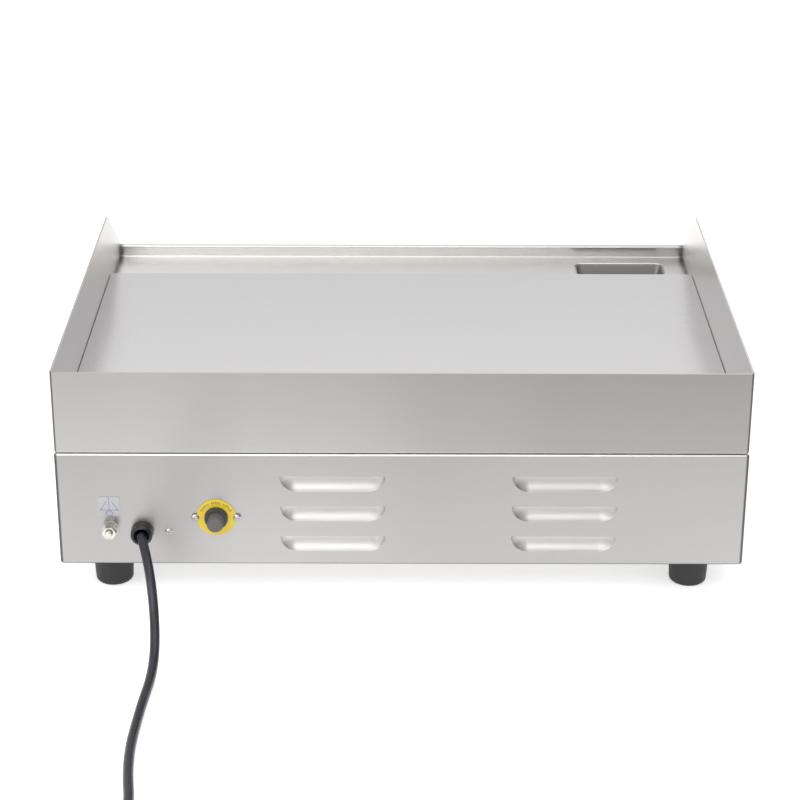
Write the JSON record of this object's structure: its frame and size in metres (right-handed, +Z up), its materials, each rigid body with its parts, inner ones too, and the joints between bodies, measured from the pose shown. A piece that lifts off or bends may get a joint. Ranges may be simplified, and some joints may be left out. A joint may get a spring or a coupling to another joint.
{
  "type": "electric griddle",
  "caption": "Counter-top electric griddle: flat steel cooking plate inside a splash guard, over a louvred casing with a grease drawer, thermostat knob, reset button and mains lead.",
  "frame": {"origin": "middle of the footprint without the mains lead, on the surface the rubber feet stand on", "axes": "+X along the width, towards the side with the mains lead; -Y towards the front with the knob and the grease drawer; +Y towards the rear wall; +Z up"},
  "size_m": [0.55, 0.8733, 0.2024],
  "materials": {
    "base_steel": "mill finish",
    "bezel_chrome": "polished",
    "cap_black": "moulded",
    "casing_steel": "fine horizontal grain",
    "ceramic_white": "glazed",
    "chute_steel": "mill finish",
    "copper": "drawn copper",
    "cord_rubber": "satin sheath",
    "dial_silver": "satin anodised",
    "drawer_steel": "fine horizontal grain",
    "element_sheath": "heat-darkened steel",
    "foot_rubber": "matt",
    "galvanised": "galvanised sheet",
    "gasket_black": "matt",
    "gland_rubber": "matt",
    "guard_steel": "fine horizontal grain",
    "gutter_steel": "fine horizontal grain",
    "handle_chrome": "polished",
    "housing_black": "moulded",
    "knob_black": "moulded",
    "lens_green": "clear tinted",
    "lens_orange": "clear tinted",
    "mineral_wool": "fibrous",
    "nickel": "bright nickel",
    "panel_steel": "fine horizontal grain",
    "plate_steel": "satin ground",
    "plug_black": "moulded",
    "ring_yellow": "printed film",
    "screw_steel": "zinc plated",
    "symbol_label": "printed film",
    "wire_sleeve": "woven glass sleeve"
  },
  "bodies": {
    "chassis": {"base_plate": "base_steel", "base_screws": "screw_steel", "block_bracket": "galvanised", "block_screw": "screw_steel", "cable_gland": "gland_rubber", "clamp_bars": "galvanised", "clamp_nuts": "screw_steel", "clamp_studs": "screw_steel", "control_panel": "panel_steel", "cord_coil": "cord_rubber", "deck_gasket": "gasket_black", "dial_plate": "dial_silver", "drain_chute": "chute_steel", "drawer_rails": "galvanised", "earth_nuts": "nickel", "earth_stud": "nickel", "earth_symbol": "symbol_label", "earth_washers": "nickel", "element_terminals": "ceramic_white", "foot_nuts": "screw_steel", "foot_screws": "screw_steel", "grease_gutter": "gutter_steel", "griddle_plate": "plate_steel", "heat_shield": "galvanised", "heating_elements": "element_sheath", "heating_lamp_lens": "lens_orange", "insulation_blanket": "mineral_wool", "internal_wires": "wire_sleeve", "lamp_bezels": "bezel_chrome", "lamp_bodies": "housing_black", "limiter_body": "ceramic_white", "limiter_capillary": "copper", "lower_casing": "casing_steel", "plug_body": "plug_black", "plug_pins": "nickel", "power_cord": "cord_rubber", "power_lamp_lens": "lens_green", "reset_bush": "housing_black", "reset_ring": "ring_yellow", "reset_screws": "screw_steel", "rubber_feet": "foot_rubber", "shield_pillars": "galvanised", "splash_guard": "guard_steel", "terminal_block": "ceramic_white", "thermostat_body": "housing_black", "thermostat_capillary": "copper", "thermostat_screws": "screw_steel"},
    "drawer": {"drawer_tray": "drawer_steel", "drawer_front": "drawer_steel", "drawer_handle": "handle_chrome", "handle_screws": "screw_steel"},
    "knob": {"control_knob": "knob_black", "thermostat_shaft": "screw_steel"},
    "reset": {"reset_button": "cap_black"}
  },
  "joints": [
    {"name": "drawer_slide", "type": "slide", "parent": "chassis", "child": "drawer", "axis": [0, -1, 0], "range_m": [0, 0.15]},
    {"name": "knob_turn", "type": "hinge", "parent": "chassis", "child": "knob", "pos_m": [0.13, -0.206, 0.08], "axis": [0, 1, 0], "range_deg": [0, 290]},
    {"name": "reset_press", "type": "slide", "parent": "chassis", "child": "reset", "axis": [0, -1, 0], "range_m": [0, 0.0025], "stiffness_N_per_m": 500}
  ]
}
